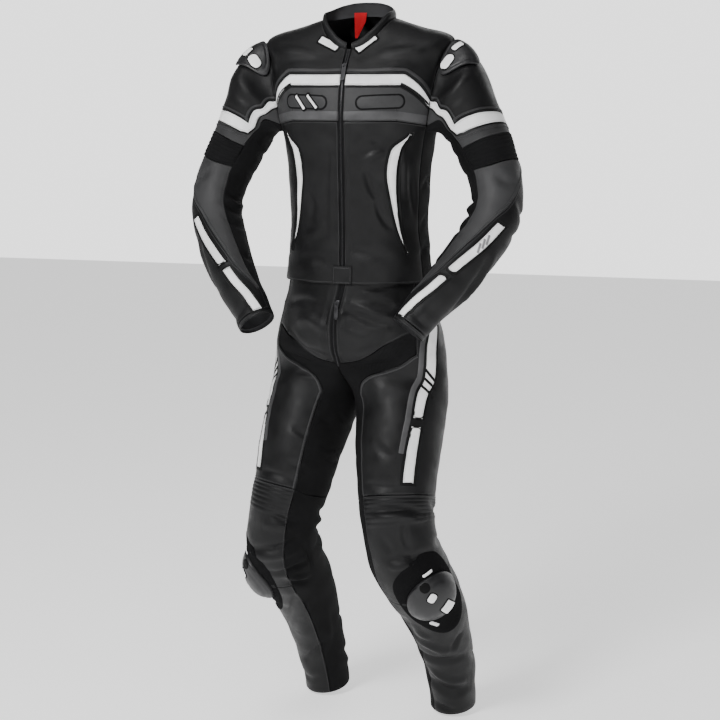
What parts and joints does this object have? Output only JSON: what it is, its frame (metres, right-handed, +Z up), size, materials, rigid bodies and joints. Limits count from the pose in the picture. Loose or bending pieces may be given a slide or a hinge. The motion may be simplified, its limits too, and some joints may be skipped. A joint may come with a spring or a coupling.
{
  "type": "motorcycle race suit",
  "caption": "Hollow two-piece leather race suit in black, grey and white, with stretch inserts, hard shoulder caps, knee sliders and front zips.",
  "frame": {"origin": "middle of the neck opening, level with its sides, where the wearer holds the suit up", "axes": "+Z up the body, -Y out of the chest, +X to the wearer's left"},
  "size_m": [0.6844, 0.4217, 1.4812],
  "materials": {
    "black_leather": "matte grained",
    "grey_leather": "matte grained",
    "white_leather": "smooth",
    "stretch": "ribbed stretch",
    "hard_plastic": "satin",
    "zip_metal": "dark",
    "red_label": "woven"
  },
  "bodies": {
    "suit": {"back": "black_leather", "calf_left": "stretch", "calf_right": "stretch", "chest_left": "grey_leather", "chest_right": "grey_leather", "chest_stripe_left": "white_leather", "chest_stripe_right": "white_leather", "collar": "black_leather", "cuff_left": "black_leather", "cuff_right": "black_leather", "elbow_left": "grey_leather", "elbow_right": "grey_leather", "fly": "zip_metal", "forearm_left": "black_leather", "forearm_right": "black_leather", "forearm_stripe_lower_left": "white_leather", "forearm_stripe_lower_right": "white_leather", "forearm_stripe_upper_left": "white_leather", "forearm_stripe_upper_right": "white_leather", "front_left": "black_leather", "front_right": "black_leather", "groin": "stretch", "hem_tab": "black_leather", "hip_front_left": "black_leather", "hip_front_right": "black_leather", "knee_left": "black_leather", "knee_right": "black_leather", "knee_slider_left": "hard_plastic", "knee_slider_right": "hard_plastic", "main_zip": "zip_metal", "neck_label": "red_label", "pocket_trim_left": "white_leather", "pocket_trim_right": "white_leather", "seat": "black_leather", "shin_left": "black_leather", "shin_right": "black_leather", "shoulder_cap_left": "hard_plastic", "shoulder_cap_right": "hard_plastic", "side_left": "stretch", "side_right": "stretch", "side_stripe_lower_left": "white_leather", "side_stripe_lower_right": "white_leather", "side_stripe_upper_left": "white_leather", "side_stripe_upper_right": "white_leather", "sleeve_band_left": "grey_leather", "sleeve_band_right": "grey_leather", "sleeve_head_left": "black_leather", "sleeve_head_right": "black_leather", "sleeve_inner_left": "stretch", "sleeve_inner_right": "stretch", "sleeve_ribs_left": "stretch", "sleeve_ribs_right": "stretch", "sleeve_stripe_left": "white_leather", "sleeve_stripe_right": "white_leather", "thigh_left": "black_leather", "thigh_right": "black_leather", "yoke_left": "black_leather", "yoke_right": "black_leather"},
    "main_pull": {"main_zip_pull": "zip_metal"},
    "fly_zip_pull": {"fly_pull": "zip_metal"}
  },
  "joints": [
    {"name": "main_zip_pull_hinge", "type": "hinge", "parent": "suit", "child": "main_pull", "pos_m": [0, -0.09729, -0.09666], "axis": [-1, 0, 0], "range_deg": [0, 120]},
    {"name": "fly_pull_hinge", "type": "hinge", "parent": "suit", "child": "fly_zip_pull", "pos_m": [-0.00967, -0.11785, -0.55867], "axis": [-0.9929, 0.1189, 0], "range_deg": [0, 110]}
  ]
}
